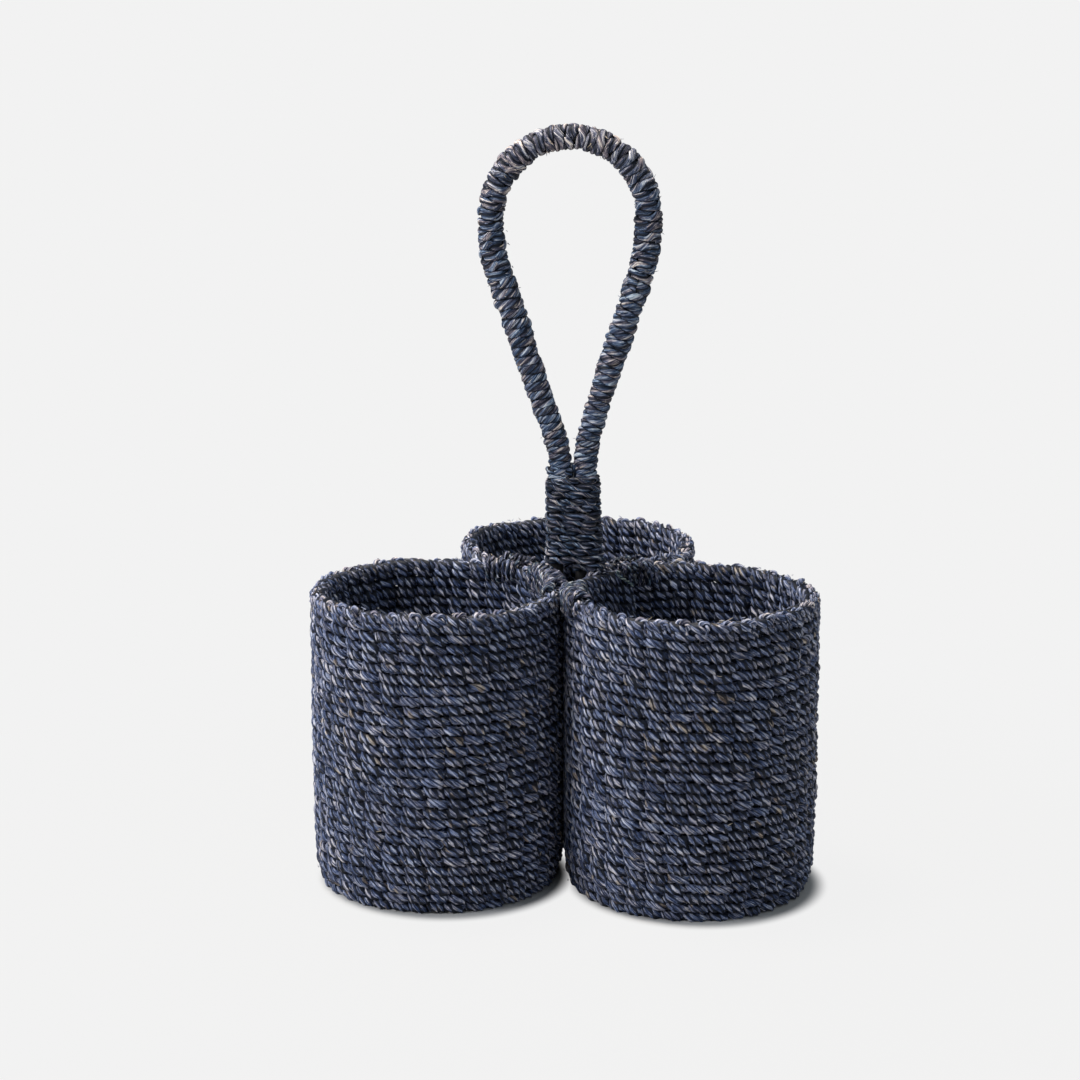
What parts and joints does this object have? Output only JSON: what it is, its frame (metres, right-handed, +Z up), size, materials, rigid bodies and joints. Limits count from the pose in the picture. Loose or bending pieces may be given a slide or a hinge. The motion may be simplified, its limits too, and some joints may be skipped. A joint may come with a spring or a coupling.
{
  "type": "bottle carrier",
  "caption": "Woven carrier of round pockets lashed side by side round a bound, looped carrying handle.",
  "frame": {"origin": "on the ground under the middle of the carrier's bounding box", "axes": "+Z up, the two front pockets at -Y and -X and +X, the third pocket at +Y, the handle's loop in the XZ plane"},
  "size_m": [0.2404, 0.2242, 0.3576],
  "materials": {
    "weft": "twined plant-fibre cord, dyed indigo, matt with a faint sheen",
    "stake": "stiff twisted plant-fibre cord, dyed indigo",
    "cane": "peeled cane, dyed dark with the rest",
    "binding": "two-ply plant-fibre cord, slate blue, silky sheen",
    "tie": "thin plant-fibre twine, slate blue"
  },
  "bodies": {
    "root": {"left_floor": "weft", "left_wall": "weft", "left_stakes": "stake", "right_floor": "weft", "right_wall": "weft", "right_stakes": "stake", "back_floor": "weft", "back_wall": "weft", "back_stakes": "stake", "handle_core": "cane", "left_leg_binding": "binding", "left_bow_binding": "binding", "right_bow_binding": "binding", "right_leg_binding": "binding", "post_binding": "binding", "front_rim_tie": "tie", "right_rim_tie": "tie", "left_rim_tie": "tie", "front_foot_tie": "tie", "right_foot_tie": "tie", "left_foot_tie": "tie", "left_leg_tie": "tie", "right_leg_tie": "tie", "back_leg_tie": "tie"}
  },
  "joints": []
}
